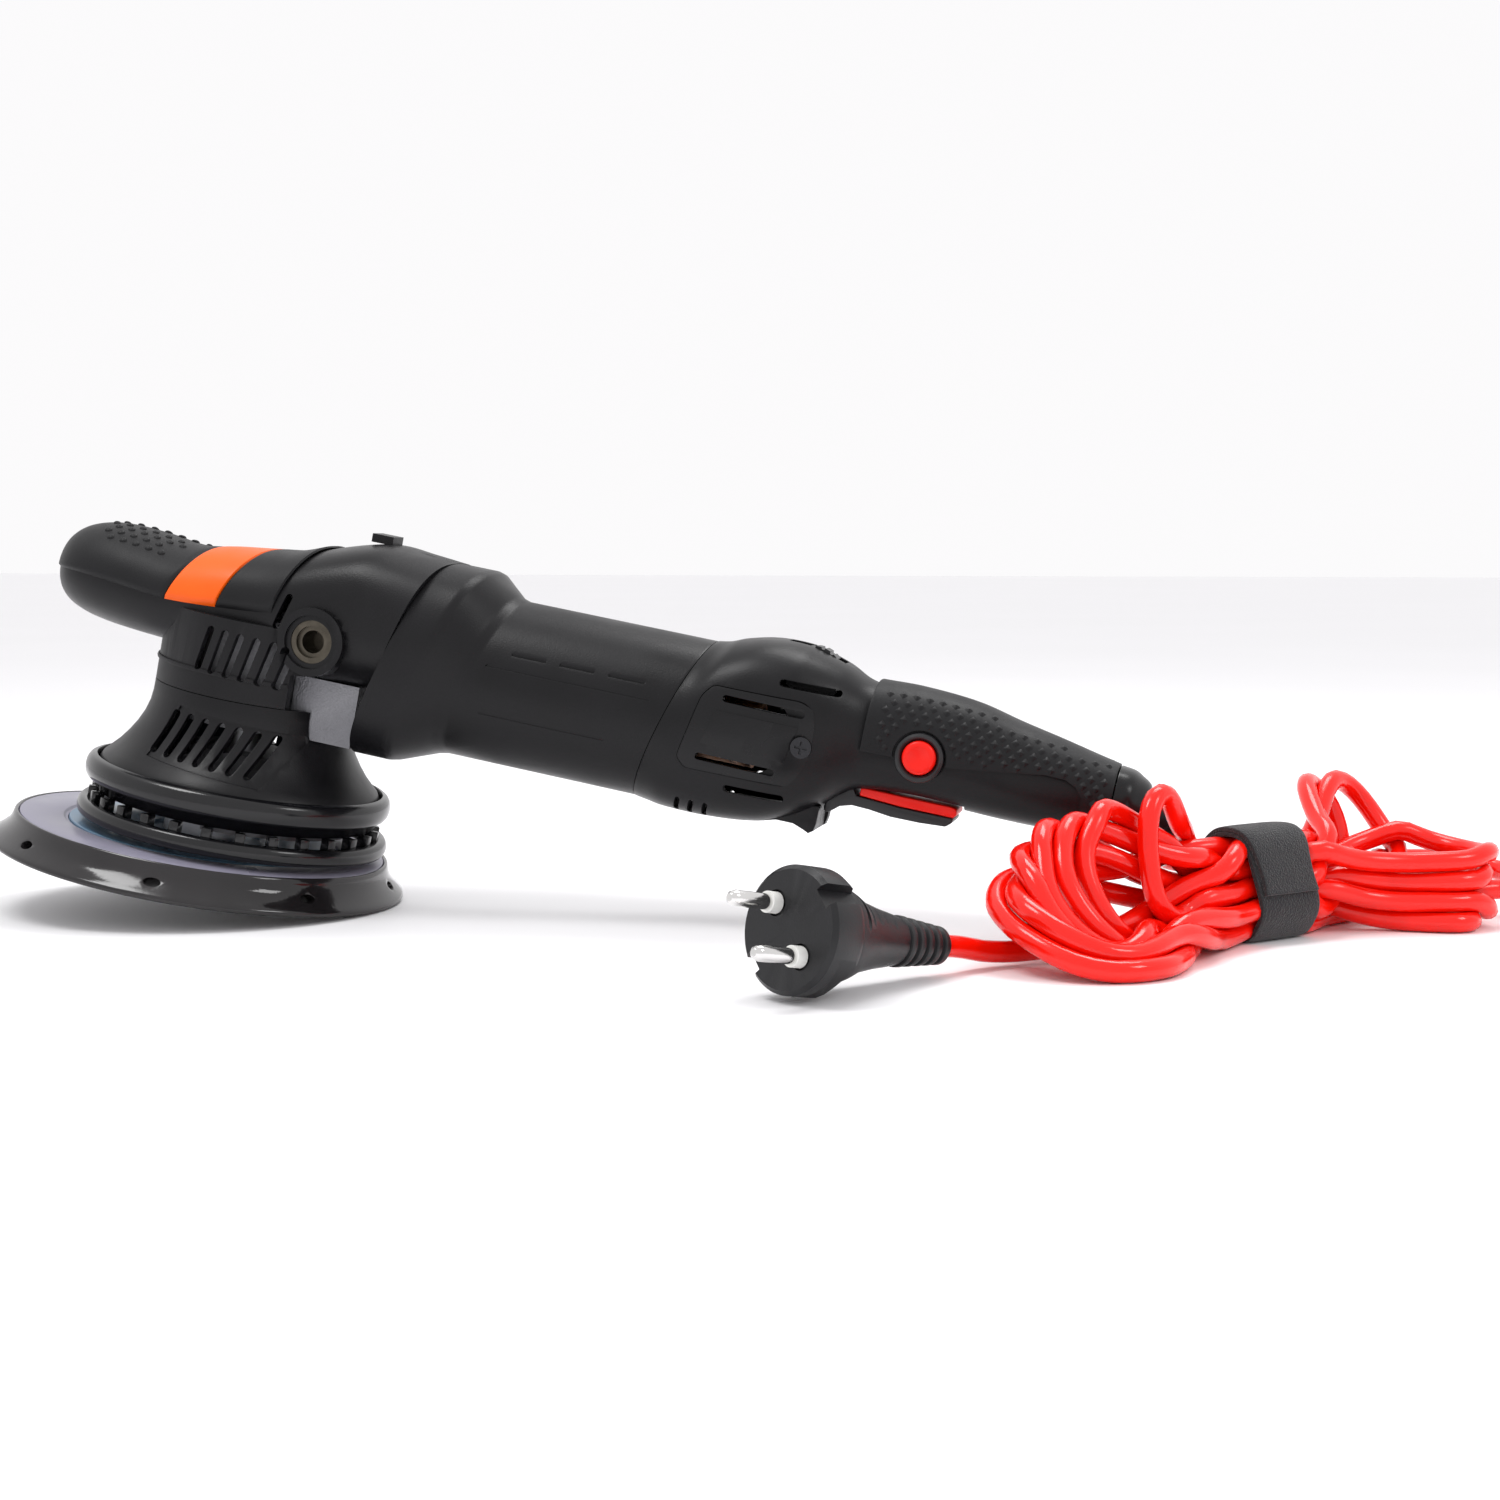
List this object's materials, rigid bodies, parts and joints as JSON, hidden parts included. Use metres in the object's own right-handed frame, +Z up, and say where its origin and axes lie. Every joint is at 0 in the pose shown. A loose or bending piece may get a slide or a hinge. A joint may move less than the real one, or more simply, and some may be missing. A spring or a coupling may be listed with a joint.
{
  "type": "orbital sander",
  "caption": "Long-neck random-orbital sander and polisher with a round hook-and-loop plate, palm grip, paddle trigger and a supply cord tied in a hank.",
  "frame": {"origin": "on the floor, under the middle of the tool's own length and width, cord and plug left out", "axes": "+X along the tool from the pad towards the handle, +Z up as it rests, +Y to the tool's far side"},
  "size_m": [0.5381, 0.2583, 0.1405],
  "materials": {
    "casing_black": "satin black moulded plastic",
    "soft_black": "matt black soft grip",
    "orange_band": "bright orange plastic",
    "red_plastic": "bright red plastic",
    "collar_black": "glossy black",
    "cast_grey": "cast aluminium",
    "steel": "machined steel",
    "insert_brass": "brass",
    "iron_weight": "cast",
    "plate_blue": "blue-grey fibre-filled plastic",
    "skirt_smoke": "smoky translucent elastomer",
    "hook_black": "hook tape",
    "winding_copper": "copper windings",
    "lamination": "lacquered steel sheet",
    "carbon": "carbon",
    "board_green": "circuit board",
    "cord_red": "glossy red sheath",
    "tie_black": "black hook-and-loop",
    "plug_black": "black moulded rubber",
    "pin_nickel": "nickel-plated",
    "sleeve_white": "white insulation",
    "button_black": "black plastic"
  },
  "bodies": {
    "housing": {"head_shell_left": "casing_black", "head_shell_right": "casing_black", "palm_grip_front": "soft_black", "palm_band": "orange_band", "palm_grip_rear": "soft_black", "gear_case": "cast_grey", "seam_clip": "button_black", "shroud": "casing_black", "collar_ring": "collar_black", "guard_ring": "collar_black", "handle_insert_left": "insert_brass", "handle_insert_right": "insert_brass", "spindle_bearing_upper": "steel", "spindle_bearing_lower": "steel", "motor_housing": "casing_black", "stator": "lamination", "motor_bearing_front": "steel", "motor_bearing_rear": "steel", "brush_holders": "insert_brass", "carbon_brushes": "carbon", "rear_shell_left": "casing_black", "rear_shell_right": "casing_black", "brush_cover_left": "casing_black", "brush_cover_right": "casing_black", "brush_cover_screws": "steel", "handle_screws": "steel", "grip_sleeve": "soft_black", "end_cap": "casing_black", "button_collar": "button_black", "trigger_pin": "steel", "switch_block": "button_black", "speed_module": "board_green", "strain_relief": "soft_black", "cord_lead": "cord_red", "cord_hank": "cord_red", "cord_run": "cord_red", "cord_tie": "tie_black", "plug_body": "plug_black", "plug_pins": "pin_nickel", "plug_sleeves": "sleeve_white", "plug_boot": "plug_black"},
    "crank": {"spindle": "steel", "bevel_gear": "steel", "counterweight": "iron_weight", "pad_bearings": "steel"},
    "pad": {"pad_spindle": "steel", "backing_plate": "plate_blue", "pad_skirt": "skirt_smoke", "hook_face": "hook_black", "pad_screw": "steel"},
    "armature": {"armature_shaft": "steel", "armature_core": "winding_copper", "commutator": "winding_copper", "cooling_fan": "button_black", "bevel_pinion": "steel"},
    "trigger_lever": {"trigger": "button_black", "trigger_insert": "red_plastic"},
    "button": {"lock_button": "red_plastic"},
    "dial": {"speed_dial": "button_black"}
  },
  "joints": [
    {"name": "crank_spin", "type": "hinge", "parent": "housing", "child": "crank", "pos_m": [-0.12046, 0, 0.06151], "axis": [0.1908, 0, 0.9816], "continuous": true},
    {"name": "pad_spin", "type": "hinge", "parent": "crank", "child": "pad", "pos_m": [-0.13801, 0, 0.02621], "axis": [0.1908, 0, 0.9816], "continuous": true},
    {"name": "armature_spin", "type": "hinge", "parent": "housing", "child": "armature", "pos_m": [-0.05393, 0, 0.08933], "axis": [0.9816, 0, -0.1908], "continuous": true},
    {"name": "trigger_pivot", "type": "hinge", "parent": "housing", "child": "trigger_lever", "pos_m": [0.09907, 0, 0.04838], "axis": [0, -1, 0], "range_deg": [0, 7], "stiffness_Nm_per_rad": 2},
    {"name": "lock_button_slide", "type": "slide", "parent": "housing", "child": "button", "axis": [0, 1, 0], "range_m": [0, 0.0025], "stiffness_N_per_m": 800},
    {"name": "speed_dial_turn", "type": "hinge", "parent": "housing", "child": "dial", "pos_m": [0.08975, 0, 0.08687], "axis": [0, 1, 0], "range_deg": [0, 300]}
  ],
  "couplings": [
    {"joint": "armature_spin", "follows": "crank_spin", "ratio": 3}
  ]
}
